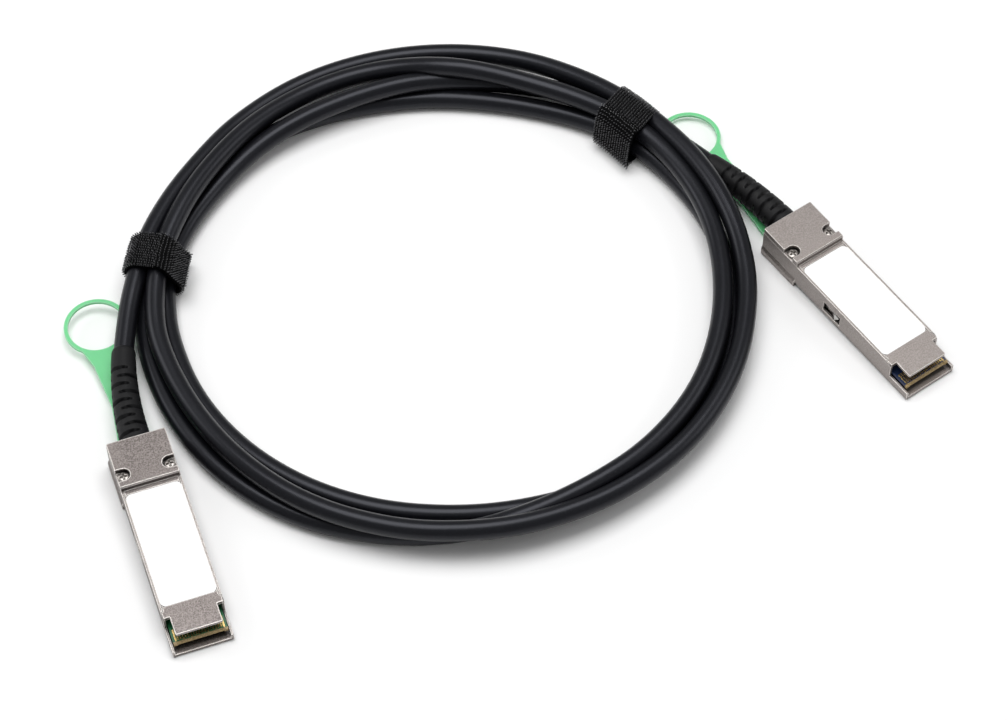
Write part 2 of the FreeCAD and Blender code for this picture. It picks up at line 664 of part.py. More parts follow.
def latch_slider():
    """Stamped steel U: a bridge under the head joined to two latch arms."""
    bridge = span_box(-BRIDGE_REAR, -BRIDGE_FRONT, -FLANGE_HALF, FLANGE_HALF,
                      BRIDGE_BOTTOM, BRIDGE_TOP)
    side = slider_side()
    slider = bridge.fuse([side, mirrored(side)])
    holes = [Part.makeCylinder(TAB_PEG_R + TAB_PEG_GAP, STEEL + 2 * CUT,
                               V(-TAB_PEG_X, y, BRIDGE_BOTTOM - CUT))
             for y in (-TAB_PEG_OFFSET, TAB_PEG_OFFSET)]
    return slider.cut(holes).removeSplitter()


def wire_section(angle, x):
    """Square section of the spring's wire at one station of its turn."""
    centre = V(x, SPRING_R * math.cos(angle), SPRING_R * math.sin(angle))
    outward = V(0, math.cos(angle), math.sin(angle))
    corners = []
    for number in range(4):
        turn = math.radians(90 * number)
        corners.append(centre + outward * (SPRING_WIRE_R * math.cos(turn))
                       + V(SPRING_WIRE_R * math.sin(turn), 0, 0))
    return Part.makePolygon(corners + [corners[0]])


def latch_spring(side):
    """Open coil spring between the slider's tab and the head block."""
    front = -SPRING_TAB_X - SPRING_END_GAP - SPRING_WIRE_R
    rear = -HEAD_FRONT + SPRING_END_GAP + SPRING_WIRE_R
    steps = SPRING_TURNS * SPRING_STEPS
    sections = []
    for number in range(steps + 1):
        angle = 2 * math.pi * number / SPRING_STEPS
        sections.append(wire_section(angle, front + (rear - front) * number / steps))
    coil = Part.makeLoft(sections, True, True)
    coil.translate(V(0, side * SPRING_OFFSET, SPRING_AXIS_Z))
    return coil


# ---------------------------------------------------------------- pull tab
def tab_outline_strip():
    """Waisted strip from the lap under the head to the finger ring."""
    half = [(-TAB_LAP_FRONT, TAB_ROOT_HALF), (-BODY_LENGTH - CUT, TAB_ROOT_HALF),
            (-TAB_WAIST_X, TAB_WAIST_HALF), (-TAB_FLARE_X, TAB_FLARE_HALF)]
    reach = RING_X - RING_R * math.cos(math.radians(RING_JOIN))
    half.append((-reach, RING_R * math.sin(math.radians(RING_JOIN))))
    return half + [(x, -y) for x, y in reversed(half)]


def pull_tab(rise):
    """Green tab: lap with two moulded pegs, waisted strip and finger ring."""
    top = TAB_BOTTOM + TAB_THICK
    points = [V(x, y, TAB_BOTTOM) for x, y in tab_outline_strip()]
    strip = prism(points, V(0, 0, TAB_THICK))
    ring = Part.makeCylinder(RING_R, TAB_THICK, V(-RING_X, 0, TAB_BOTTOM))
    hole = Part.makeCylinder(RING_R - RING_BAND, TAB_THICK + 2 * CUT,
                             V(-RING_X, 0, TAB_BOTTOM - CUT))
    tab = strip.fuse(ring).cut(hole).removeSplitter()
    hinge = -BODY_LENGTH - TRAVEL
    front = tab.common(span_box(hinge, 0, -HALF_WIDTH, HALF_WIDTH, TAB_BOTTOM, top))
    rear = tab.common(span_box(-RING_X - RING_R - CUT, hinge, -HALF_WIDTH - CUT,
                               HALF_WIDTH + CUT, TAB_BOTTOM, top))
    lap = span_box(-BRIDGE_REAR - TAB_PEG_GAP, CUT, -HALF_WIDTH, HALF_WIDTH,
                   BRIDGE_BOTTOM, top + CUT)
    pegs = [Part.makeCylinder(TAB_PEG_R, STEEL, V(-TAB_PEG_X, y, BRIDGE_BOTTOM))
            for y in (-TAB_PEG_OFFSET, TAB_PEG_OFFSET)]
    front = front.cut(lap).fuse(pegs)
    if rise:
        rear.rotate(V(hinge, 0, TAB_BOTTOM), V(0, 1, 0), rise)
        wedge = prism([V(hinge, -TAB_ROOT_HALF, TAB_BOTTOM), V(hinge, -TAB_ROOT_HALF, top),
                       V(hinge + TAB_THICK * math.sin(math.radians(rise)), -TAB_ROOT_HALF, top)],
                      V(0, 2 * TAB_ROOT_HALF, 0))
        return front.fuse([rear, wedge]).removeSplitter()
    return front.fuse(rear).removeSplitter()


# ---------------------------------------------------------------- boot
class ArcLine:
    """Circular arc of a given length from a start point towards an aim point."""

    def __init__(self, start, heading, aim, length):
        chord = aim - start
        self.start = V(start)
        self.along = V(heading).normalize()
        sideways = chord - self.along * chord.dot(self.along)
        self.side = sideways.normalize()
        half_turn = math.atan2(chord.dot(self.side), chord.dot(self.along))
        self.radius = chord.Length / (2 * math.sin(half_turn))
        self.length = length

    def point(self, distance):
        angle = distance / self.radius
        forward = self.along * (self.radius * math.sin(angle))
        return self.start + forward + self.side * (self.radius * (1 - math.cos(angle)))

    def heading(self, distance):
        angle = distance / self.radius
        return self.along * math.cos(angle) + self.side * math.sin(angle)

    def ring(self, distance, radius):
        """Many-sided ring square to the line."""
        heading = self.heading(distance)
        across = heading.cross(V(0, 0, 1)).normalize()
        upward = across.cross(heading)
        corners = []
        for number in range(BOOT_SIDES):
            angle = 2 * math.pi * number / BOOT_SIDES
            offset = across * math.cos(angle) + upward * math.sin(angle)
            corners.append(self.point(distance) + offset * radius)
        return Part.makePolygon(corners + [corners[0]])


def tube_along(edges, radius, start, heading):
    """Round bar along a wire of tangent edges."""
    circle = Part.Wire(Part.makeCircle(radius, start, heading))
    return Part.Wire(edges).makePipeShell([circle], True, False)


def slot_tool():
    """Sector of a ring that cuts one slot, across the boot's axis."""
    angles = [math.radians(SLOT_SPAN * (k / SLOT_FLATS - 0.5)) for k in range(SLOT_FLATS + 1)]
    base = V(0, 0, -SLOT_WIDTH / 2)
    floor = [base + V(math.cos(a), math.sin(a), 0) * SLOT_FLOOR for a in angles]
    rim = [base + V(math.cos(a), math.sin(a), 0) * (BOOT_R + CUT) for a in reversed(angles)]
    return prism(floor + rim, V(0, 0, SLOT_WIDTH))


def boot_slots(line):
    """Rows of slots, each row turned half a step from the last."""
    tools = []
    step = 360.0 / SLOTS_PER_ROW
    for row in range(SLOT_ROWS):
        distance = SLOT_FIRST + row * SLOT_PITCH
        heading = line.heading(distance)
        across = heading.cross(V(0, 0, 1)).normalize()
        upward = across.cross(heading)
        turned = FreeCAD.Rotation(across, upward, heading * -1, "ZXY")
        frame = FreeCAD.Placement(line.point(distance), turned)
        for number in range(SLOTS_PER_ROW):
            tool = slot_tool()
            tool.rotate(V(0, 0, 0), V(0, 0, 1),
                        SLOT_PHASE + number * step + (row % 2) * step / 2)
            tools.append(tool.transformed(frame.toMatrix(), True))
    return tools


def boot(line, keys):
    """Tapered strain relief bent along the cable, slotted in staggered rows."""
    outer = []
    inner = []
    bore_r = (CABLE_R + BOOT_BORE_GAP) / math.cos(math.pi / BOOT_SIDES)
    for number in range(BOOT_STATIONS):
        share = number / (BOOT_STATIONS - 1)
        distance = share * (line.length - BOOT_NOSE)
        outer.append(line.ring(distance, BOOT_R + (BOOT_TAIL_R - BOOT_R) * share))
        inner.append(line.ring(distance, bore_r))
    outer.append(line.ring(line.length, BOOT_LIP_R))
    inner.append(line.ring(line.length, bore_r))
    inside = line.along * -BOOT_SOCKET
    neck = Part.makeCylinder(BOOT_R, BOOT_SOCKET, line.start + inside, line.along)
    neck_bore = Part.Face(inner[0]).extrude(inside * 2)
    body = Part.makeLoft(outer, True, True).fuse([neck] + keys)
    return body.cut([Part.makeLoft(inner, True, True), neck_bore] + boot_slots(line))


def boot_keys():
    """Two side keys that hold the boot's neck in the head, in the plug's frame."""
    front = SOCKET_FRONT + 2 * BOOT_SOCKET_GAP
    rear = front + BOOT_KEY_LENGTH - BOOT_SOCKET_GAP
    half = BOOT_KEY_HEIGHT / 2
    keys = both_sides(-rear, -front, BOOT_R - CUT / 2, BOOT_R + BOOT_KEY_REACH,
                      CABLE_AXIS - half, CABLE_AXIS + half)
    return keys


def cable_end(line, frame):
    """The cable inside the ferrule and the boot."""
    front = frame.multVec(V(-CABLE_END_X, 0, CABLE_AXIS))
    rings = []
    for number in range(BOOT_STATIONS):
        share = number / (BOOT_STATIONS - 1)
        rings.append(line.ring(share * (line.length - BUTT_GAP), CABLE_R))
    straight = Part.Face(rings[0]).extrude(front - line.start)
    return Part.makeLoft(rings, True, True).fuse(straight).removeSplitter()


# ---------------------------------------------------------------- cable path
def rounded_path(points, closed):
    """Straight runs joined by tangent arcs; returns edges, arcs and radii."""
    count = len(points)
    corners = range(count) if closed else range(1, count - 1)
    arcs = {}
    for i in corners:
        before = points[i - 1]
        here = points[i]
        after = points[(i + 1) % count]
        run_in = here - before
        run_out = after - here
        turn = run_in.getAngle(run_out)
        trim = CORNER_FILL * min(run_in.Length, run_out.Length)
        radius = trim / math.tan(turn / 2)
        start = here - V(run_in).normalize() * trim
        end = here + V(run_out).normalize() * trim
        bisector = (V(run_out).normalize() - V(run_in).normalize()).normalize()
        centre = here + bisector * (radius / math.cos(turn / 2))
        middle = centre - bisector * radius
        arcs[i] = (start, middle, end, centre, radius)
    edges = []
    order = list(corners)
    here = arcs[order[-1]][2] if closed else points[0]
    for i in order:
        edges.append(Part.makeLine(here, arcs[i][0]))
        edges.append(Part.Arc(*arcs[i][:3]).toShape())
        here = arcs[i][2]
    if not closed:
        edges.append(Part.makeLine(here, points[-1]))
    return edges, arcs


def report_tube(name, edges, arcs, solid):
    length = sum(e.Length for e in edges)
    area = math.pi * CABLE_R ** 2
    radii = ", ".join("%.0f" % arc[4] for arc in arcs.values())
    print("%s: length %.1f, radii %s, volume / (section x length) %.4f"
          % (name, length, radii, solid.Volume / (area * length)))


def cable_tail(name, line):
    points = [line.point(line.length)] + TAIL_POINTS[name]
    edges, arcs = rounded_path(points, False)
    heading = (points[1] - points[0]).normalize()
    tube = tube_along(edges, CABLE_R, points[0], heading)
    report_tube("cable_tail_" + name, edges, arcs, tube)
    return tube


# ---------------------------------------------------------------- coil, straps
def coil_points():
    points = []
    for bearing, distance in COIL_CORNERS:
        angle = math.radians(bearing)
        offset = V(distance * math.cos(angle), distance * math.sin(angle), 0)
        points.append(COIL_CENTRE + offset)
    return points


def strand_middles():
    """Middles of the four strands, as (outward, up) from the bundle's line."""
    low_in = -(STRAND_PITCH + LAYER_LEAN) / 2
    return [(low_in, LOW_Z), (low_in + STRAND_PITCH, LOW_Z),
            (low_in + STRAND_PITCH + LAYER_LEAN, HIGH_Z), (low_in + LAYER_LEAN, HIGH_Z)]


def hull_wire(grow, place):
    """Outline round the four strands, grown outward; each corner has flats."""
    middles = [V(x, z, 0) for x, z in strand_middles()]
    radius = CABLE_R + grow
    corners = []
    for i, here in enumerate(middles):
        before = (here - middles[i - 1]).normalize().cross(V(0, 0, 1))
        after = (middles[(i + 1) % len(middles)] - here).normalize().cross(V(0, 0, 1))
        start = math.atan2(before.y, before.x)
        turn = before.getAngle(after)
        for step in range(CORNER_FLATS + 1):
            angle = start + turn * step / CORNER_FLATS
            corners.append(place(here + V(radius * math.cos(angle), radius * math.sin(angle), 0)))
    return Part.makePolygon(corners + [corners[0]])


def section_at(origin, outward):
    """Maps (outward, up) onto the upright plane through a point of the line."""
    def place(p):
        return V(origin) + outward * p.x + V(0, 0, p.y)
    return place


def profile_at(point, along):
    """The bundle's upright section facing along the path."""
    outward = along.cross(V(0, 0, 1)).normalize()
    return Part.Face(hull_wire(0, section_at(point, outward)))


def cable_coil():
    """Closed solid round the four strands, run by run and corner by corner."""
    edges, arcs = rounded_path(coil_points(), True)
    pieces = []
    for number, (start, middle, end, centre, radius) in enumerate(arcs.values()):
        run = edges[2 * number]
        begin = run.Vertexes[0].Point
        along = (start - begin).normalize()
        turn = math.degrees((start - centre).getAngle(end - centre))
        pieces.append(profile_at(begin, along).extrude(start - begin))
        pieces.append(profile_at(start, along).revolve(centre, V(0, 0, 1), turn))
    radii = ", ".join("%.0f" % arc[4] for arc in arcs.values())
    print("cable_coil: middle line %.1f, radii %s" % (sum(e.Length for e in edges), radii))
    return pieces[0].fuse(pieces[1:]).removeSplitter()


def strap(corner):
    """Band round the bundle, with its overlapping end on the inner side."""
    arc = rounded_path(coil_points(), True)[1][corner]
    middle, centre, radius = arc[1], arc[3], arc[4]
    place = section_at(middle, (middle - centre).normalize())
    turn = math.degrees(STRAP_WIDTH / radius)

    def swept(wire):
        face = Part.Face(wire)
        face.rotate(centre, V(0, 0, 1), -turn / 2)
        return face.revolve(centre, V(0, 0, 1), turn)

    bundle = swept(hull_wire(STRAP_GAP, place))
    band = swept(hull_wire(STRAP_GAP + STRAP_THICK, place))
    lap = swept(hull_wire(STRAP_GAP + STRAP_THICK + STRAP_FLAP, place))
    corners = [(STRAP_FLAP_START, STRAP_FLAP_BOTTOM), (STRAP_FLAP_START, FLAP_LIMIT),
               (-FLAP_LIMIT, FLAP_LIMIT), (-FLAP_LIMIT, STRAP_FLAP_BOTTOM)]
    outline = [place(V(x, z, 0)) for x, z in corners]
    inner_side = swept(Part.makePolygon(outline + [outline[0]]))
    return band.fuse(lap.common(inner_side)).cut(bundle).removeSplitter()


# ---------------------------------------------------------------- assembly
def plug_frame(spec):
    """The plug rests on its nose and on the front edge of its foot."""
    rotation = FreeCAD.Rotation(V(0, 0, 1), spec["yaw"]).multiply(
        FreeCAD.Rotation(V(0, 1, 0), SLOPE))
    forward = rotation.multVec(V(BODY_LENGTH, 0, 0))
    front = spec["rear"] + V(forward.x, forward.y, 0)
    return FreeCAD.Placement(front, rotation)


def plug_nodes(name, spec):
    frame = plug_frame(spec)
    matrix = frame.toMatrix()
    start = frame.multVec(V(-BODY_LENGTH, 0, CABLE_AXIS))
    rearward = frame.Rotation.multVec(V(-1, 0, 0))
    line = ArcLine(start, rearward, spec["boot_aim"], BOOT_LENGTH)
    print("boot_%s: length %.1f, bend radius %.0f" % (name, line.length, line.radius))
    local = {
        "base_shell": base_shell(),
        "top_cover": top_cover(),
        "label": label(),
        "paddle_card": paddle_card(),
        "card_contacts": card_contacts(),
        "card_components": card_components(),
        "inner_wires": inner_wires(),
        "crimp_ferrule": crimp_ferrule(),
        "latch_slider": latch_slider(),
        "latch_springs": Part.makeCompound([latch_spring(-1), latch_spring(1)]),
        "pull_tab": pull_tab(spec["tab_rise"]),
    }
    nodes = {key + "_" + name: shape.transformed(matrix, True) for key, shape in local.items()}
    keys = [key.transformed(matrix, True) for key in boot_keys()]
    nodes["boot_" + name] = boot(line, keys)
    nodes["cable_end_" + name] = cable_end(line, frame)
    nodes["cable_tail_" + name] = cable_tail(name, line)
    return nodes


def tab_clearance(name):
    """Room under the coil for a pull tab through its whole travel."""
    spec = PLUGS[name]
    side = RING_R + 2 * SLIDE_GAP
    box = span_box(-RING_X - RING_R - TRAVEL - SLIDE_GAP, -BODY_LENGTH, -side, side,
                   TAB_BOTTOM - 5 * CUT, TAB_BOTTOM + TAB_THICK + SLIDE_GAP)
    return box.transformed(plug_frame(spec).toMatrix(), True)


def build():
    nodes = {}
    screws = []
    for name, spec in PLUGS.items():
        nodes.update(plug_nodes(name, spec))
        matrix = plug_frame(spec).toMatrix()
        screws += [cover_screw(side).transformed(matrix, True) for side in (-1, 1)]
    nodes["cover_screws"] = Part.makeCompound(screws)
    nodes["cable_coil"] = cable_coil().cut(tab_clearance("b"))
    for name, corner in STRAP_CORNERS.items():
        nodes[name] = strap(corner)
    return nodes


def main():
    os.makedirs("parts", exist_ok=True)
    total = None
    for name, shape in build().items():
        valid = shape.isValid() and all(s.isClosed() for s in shape.Shells)
        print("%-20s solids %2d  volume %9.2f  %s"
              % (name, len(shape.Solids), shape.Volume, "ok" if valid else "NOT VALID"))
        shape.exportStep("parts/" + name + ".step")
        if "cable_tail" not in name and "cable_coil" not in name:
            box = shape.optimalBoundingBox(False)
            total = box if total is None else total.united(box)
    print("object without its loose cable: x %.2f..%.2f  y %.2f..%.2f  z %.2f..%.2f"
          % (total.XMin, total.XMax, total.YMin, total.YMax, total.ZMin, total.ZMax))


main()
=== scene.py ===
import json
import math
import random

import bpy
from mathutils import Matrix, Vector


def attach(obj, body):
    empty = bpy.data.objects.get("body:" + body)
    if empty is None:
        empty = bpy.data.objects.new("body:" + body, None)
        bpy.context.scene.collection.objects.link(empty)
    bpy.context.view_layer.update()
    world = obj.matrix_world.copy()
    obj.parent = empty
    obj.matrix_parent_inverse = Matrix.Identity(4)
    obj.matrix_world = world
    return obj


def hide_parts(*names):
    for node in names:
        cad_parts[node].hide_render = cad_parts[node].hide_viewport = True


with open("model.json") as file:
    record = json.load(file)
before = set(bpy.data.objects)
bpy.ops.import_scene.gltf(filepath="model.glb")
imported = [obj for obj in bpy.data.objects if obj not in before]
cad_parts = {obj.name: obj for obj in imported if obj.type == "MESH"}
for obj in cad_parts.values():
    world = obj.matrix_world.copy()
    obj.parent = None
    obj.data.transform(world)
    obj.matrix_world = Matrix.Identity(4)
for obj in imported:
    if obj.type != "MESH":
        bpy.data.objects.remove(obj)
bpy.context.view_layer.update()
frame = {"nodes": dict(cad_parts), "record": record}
NODES = frame["nodes"]
MM = 0.001

# Materials for the solids, and the soft or fine pieces that replace some of them as meshes or a curve:
# the wound cable, the boots, the straps, the labels and the screws.
# Lengths are in millimetres and angles in degrees. Materials, floor, lights and camera are in metres.

# Wound cable, in the order it runs from plug a's boot to plug b's boot.
# Each point is its bearing round the coil's centre, its distance from the centre and its height.
COIL_CENTRE = (-20.05, 31.02)
TURNS = [
    (172, 91.2, 9.9), (160, 88.5, 9.4), (148, 87.2, 8.4), (136, 88.5, 6.8), (120, 89.7, 6),
    (104, 89.8, 6), (88, 90, 6), (72, 89.9, 6.6), (57, 88.3, 8.6), (44, 88, 10), (35, 88.2, 10.9),
    (26, 89.3, 11.5), (16, 91.2, 11), (5, 93.4, 9.5), (-8, 95.6, 8.5), (-25, 98.2, 8.5),
    (-42, 99.6, 8.5), (-58, 99.2, 8.8), (-72, 98.7, 9.6), (-84, 97.9, 10), (-98, 96.6, 9.4),
    (-114, 94.9, 9.3), (-130, 91.9, 8.6), (-146, 89.6, 7.8), (-162, 89, 8.1), (-172, 87.9, 8.8),
    (-184, 86.1, 10.1), (-197, 83.4, 11.6), (-210, 82.2, 11.2), (-225, 82.9, 9.8),
    (-240, 83.9, 7.8), (-252, 83.8, 7.6), (-262, 81.2, 10), (-272, 77.6, 13.2), (-282, 77.2, 12.2),
    (-294, 77.4, 10.8), (-304, 79.2, 10.2), (-316, 82, 9.9), (-330, 84.4, 9.2), (-345, 86.2, 8.6),
    (-360, 87.4, 8.4), (-376, 89.2, 8.4), (-392, 91.5, 8.4), (-408, 92.8, 8.8), (-422, 93.2, 9.2),
    (-434, 93.8, 7.4), (-446, 94.4, 4.2), (-460, 95.4, 3.15), (-476, 96.6, 3.15), (-492, 96, 3.15),
    (-508, 94.4, 3.15), (-524, 92.8, 3.15), (-536, 90.9, 3.4), (-544, 90, 4.5), (-557, 89, 3.7),
    (-572, 85.4, 3.15), (-588, 80.2, 3.15), (-602, 76.2, 3.15), (-616, 73.7, 3.15),
    (-630, 72.8, 3.15), (-645, 72.9, 3.15), (-658, 75, 3.15), (-668, 77.5, 3.6), (-676, 79.4, 4.5),
    (-688, 82.5, 3.4), (-703, 86.2, 3.15), (-718, 89.9, 3.15), (-734, 92.8, 3.15),
    (-750, 95.2, 3.15), (-764, 95.6, 3.15), (-778, 92.8, 3.15), (-792, 89.8, 3.15),
    (-806, 88, 3.15), (-822, 87.1, 3.15), (-838, 86.5, 3.15), (-854, 86, 3.15), (-870, 85.6, 3.15),
    (-886, 85, 3.15), (-897, 84.5, 3.4), (-904, 84.2, 4.5), (-916, 81.8, 4.3), (-929, 79, 4.6),
    (-942, 77.2, 6.4), (-954, 75.2, 8), (-966, 74, 8.9), (-978, 74.2, 9.5), (-988, 75.6, 8.8),
    (-999, 77.7, 6.3), (-1010, 80.6, 5), (-1022, 84.8, 4.4), (-1034, 86.4, 5.4),
]
TURN_SPREAD = 1.0115      # moves the control points out, because the spline runs inside them
EXIT_A = [(-116.56, 2.93, 7.47), (-116.1, 15.6, 8.0), (-114.2, 28.2, 9.2)]
ENTRY_B = [(50.0, 85.2, 6.5), (58.8, 78.8, 6.5), (65.96, 71.61, 6.3)]
CABLE_D = 6.3

# Plug's own sizes: x runs back from its mouth in negative numbers, and heights are over its foot.
PLUGS = ("a", "b")
MOUNT_HEIGHT = 4.25
BODY_LENGTH = 70.4        # from the mouth to the boot's root
CABLE_AXIS = 5.1          # height of the cable's middle
CARD_BARE = 0.9           # length of the card's front that has no solder mask
CARD_BLEND = 0.2          # length over which the mask ends

BOOT_AIMS = {"a": (-116.55, 6.93, 7.6), "b": (64.4, 73.0, 6.2)}
BOOT_LENGTH = 35.0
BOOT_ROOT = 1.0           # length inside the head
BOOT_R = 4.85
BOOT_TIP_R = 3.65
BOOT_BORE_R = 3.1
BOOT_LIP = 1.2
BOOT_LIP_DROP = 0.35
BOOT_STEP = 0.18
BOOT_SIDES = 120
BOOT_ROWS = 9
BOOT_FIRST = 2.6
BOOT_PITCH = 3.0
BOOT_FIRST_ANGLE = 135
BOOT_SLOT_SPAN = 150      # degrees round the boot
BOOT_SLOT_HALF = 0.55
BOOT_SLOT_SOFT = 0.15
BOOT_SLOT_DEPTH = 1.35

STRAP_THICK = 0.8
STRAP_GAP = 0.1
STRAP_POINTS = 66
STRAP_WAVE = 0.25
HULL_STEPS = 720
HOOK_PITCH = 0.95
HOOK_HEIGHT = 0.75
HOOK_HALF = 0.16
HOOK_WIDE = 0.2
HOOK_TIP_HALF = 0.6 * HOOK_HALF
HOOK_TIP_WIDE = 0.7 * HOOK_WIDE
HOOK_LEAN = 0.25
HOOK_FLOOR = 3.4          # no hooks lower than this on the outer side, where the tab slides

# A strap's bearing and middle place it round the coil's centre. Its tilt is how far it slants along the
# cable for each millimetre outward, and its lean how far it runs outward for each millimetre along.
# Its lap is the loose end's stretch, in shares of the way round, with the end's skew along the cable and
# its lift off the tape. Its strands are the centres of the strands that it holds, as (outward, up).
STRAPS = {
    "strap_left": {
        "bearing": 176.6, "middle": 88.4, "width": 12.4, "tilt": -0.1, "lean": 0.1, "seed": 3,
        "lap": (0.25, 0.44), "skew": 3.2, "lift": 3.0,
        "strands": [(4.4, 9.9), (-1.6, 9.9), (2.0, 4.5), (-4.9, 4.5)],
    },
    "strap_right": {
        "bearing": 42.7, "middle": 82.9, "width": 15.0, "tilt": 0.12, "lean": 0.0, "seed": 8,
        "lap": (0.30, 0.55), "skew": -1.4, "lift": 0.0,
        "strands": [(4.6, 9.9), (-2.0, 9.9), (2.2, 4.5), (-3.9, 4.5)],
    },
}

LABEL_SPAN = (-52.3, -12.1)
LABEL_HALF = 8.45
LABEL_TOP = 8.5
LABEL_BOTTOM = 8.36
LABEL_CORNER = 1.9
LABEL_STEPS = 12
LABEL_EDGE_DROP = 0.04
LABEL_EDGE_INSET = 0.05

SCREW_X = -58.4
SCREW_Y = 7.06
SCREW_SEAT = 8.6
SCREW_R = 1.72
SCREW_HEAD = 0.9
SCREW_CROWN = 0.35        # share of the head's height that the crown falls to its rim
SCREW_RINGS = 16
SCREW_SIDES = 72
SCREW_RECESS = 0.75
SCREW_SLOT_HALF = 0.22
SCREW_SLOT_SOFT = 0.08
SCREW_SLOT_REACH = 1.05
SCREW_SLOT_END = 0.15

# Floor, lights and camera, in metres. The camera was solved from the plugs' corners in the photograph.
FLOOR_HALF = 3
FLOOR_DROP = 0.0001
LIGHT_AIM = (0, 0.02, 0)
LIGHTS = {
    "overhead_light": {"place": (-0.05, 0.12, 0.95), "size": (0.85, 0.6), "power": 7.4},
    "left_light": {"place": (-0.95, 0.35, 0.55), "size": (0.5, 0.5), "power": 2.2},
    "right_light": {"place": (0.95, 0.1, 0.6), "size": (0.5, 0.5), "power": 1.6},
}
STUDIO_STRENGTH = 0.36
CAMERA_PLACE = (-0.00055, -0.544575, 0.7596)
CAMERA_DOWN = 54.315
CAMERA_ROLL = -1.6085
CAMERA_LENS = 108.81      # in millimetres, as is the sensor's width
CAMERA_SENSOR = 36.0


# ------------------------------------------------------------------ node helpers
def new_material(name):
    mat = bpy.data.materials.new(name)
    mat.use_nodes = True
    return mat, mat.node_tree, mat.node_tree.nodes["Principled BSDF"]


def noise(tree, scale, detail, rough):
    """Noise in the object's own space, with the scale in waves a metre."""
    source = tree.nodes.new("ShaderNodeTexCoord")
    node = tree.nodes.new("ShaderNodeTexNoise")
    node.inputs["Scale"].default_value = scale
    node.inputs["Detail"].default_value = detail
    node.inputs["Roughness"].default_value = rough
    tree.links.new(source.outputs["Object"], node.inputs["Vector"])
    return node.outputs["Fac"]


def ramp(tree, fac, stops):
    """Runs between two stops, each a position and a grey value or a colour."""
    node = tree.nodes.new("ShaderNodeValToRGB")
    for point, (position, value) in zip(node.color_ramp.elements, stops):
        point.position = position
        colour = value if isinstance(value, tuple) else (value, value, value)
        point.color = (*colour, 1.0)
    tree.links.new(fac, node.inputs["Fac"])
    return node.outputs["Color"]


def mix(tree, fac, first, second, mode="MIX"):
    node = tree.nodes.new("ShaderNodeMix")
    node.data_type = "RGBA"
    node.blend_type = mode
    for name, value in (("Factor", fac), ("A", first), ("B", second)):
        socket = node.inputs[name]
        if isinstance(value, float):
            socket.default_value = value
        elif isinstance(value, tuple):
            socket.default_value = (*value, 1.0)
        else:
            tree.links.new(value, socket)
    return node.outputs["Result"]


def paint(tree, bsdf, colour, rough):
    tree.links.new(colour, bsdf.inputs["Base Color"])
    tree.links.new(rough, bsdf.inputs["Roughness"])


def bump(tree, bsdf, height, depth, strength, normal=None):
    node = tree.nodes.new("ShaderNodeBump")
    node.inputs["Strength"].default_value = strength
    node.inputs["Distance"].default_value = depth
    tree.links.new(height, node.inputs["Height"])
    if normal:
        tree.links.new(normal, node.inputs["Normal"])
    tree.links.new(node.outputs["Normal"], bsdf.inputs["Normal"])


def dot_product(tree, first, second):
    """Dot product of a socket with a socket or a fixed vector."""
    node = tree.nodes.new("ShaderNodeVectorMath")
    node.operation = "DOT_PRODUCT"
    tree.links.new(first, node.inputs[0])
    if isinstance(second, Vector):
        node.inputs[1].default_value = second
    else:
        tree.links.new(second, node.inputs[1])
    return node.outputs["Value"]


def round_edges(tree, radius):
    """Normal that turns smoothly over the edges."""
    node = tree.nodes.new("ShaderNodeBevel")
    node.samples = 6
    node.inputs["Radius"].default_value = radius
    return node.outputs["Normal"]


def edge_highlight_mask(tree, rounded, reach):
    """Mask for painted edge highlights: 1 where the rounded normal leaves the face's own by the reach or
    more, 0 on flat faces.
    """
    geometry = tree.nodes.new("ShaderNodeNewGeometry")
    same = dot_product(tree, rounded, geometry.outputs["Normal"])
    return ramp(tree, same, [(1.0 - reach, 1.0), (0.995, 0.0)])


def painted_recess_shade(tree, reach, dark):
    """Painted shade in recesses: 1 on open faces, falling to the dark value deep in a recess."""
    node = tree.nodes.new("ShaderNodeAmbientOcclusion")
    node.samples = 8
    node.inputs["Distance"].default_value = reach
    return ramp(tree, node.outputs["AO"], [(0.12, dark), (0.62, 1.0)])


# ------------------------------------------------------------------ materials
def cast_nickel(name, dark, light, edge, highlight_width, rough, contrast):
    """Grainy nickel plate with a painted highlight along its edges, whose width is given in metres, and
    painted shade in its recesses.
    """
    mat, tree, bsdf = new_material(name)
    grain = noise(tree, scale=2400, detail=4, rough=0.7)
    cloud = noise(tree, scale=120, detail=3, rough=0.5)
    speckle = ramp(tree, grain, [(0.5 - contrast, dark), (0.5 + contrast, light)])
    tone = mix(tree, ramp(tree, cloud, [(0.35, 0.0), (0.7, 0.35)]), speckle, light)
    # painted highlight: the edges are brightened to the edge colour
    highlit_edges = mix(tree, edge_highlight_mask(tree, round_edges(tree, highlight_width), reach=0.05), tone, edge)
    # painted shade: the colour is darkened in recesses
    colour = mix(tree, 1.0, highlit_edges, painted_recess_shade(tree, reach=0.005, dark=0.10), "MULTIPLY")
    paint(tree, bsdf, colour, ramp(tree, grain, [(0.35, rough + 0.08), (0.65, rough - 0.06)]))
    bsdf.inputs["Metallic"].default_value = 0.85
    bump(tree, bsdf, grain, depth=0.00006, strength=0.7, normal=round_edges(tree, 0.0003))
    return mat


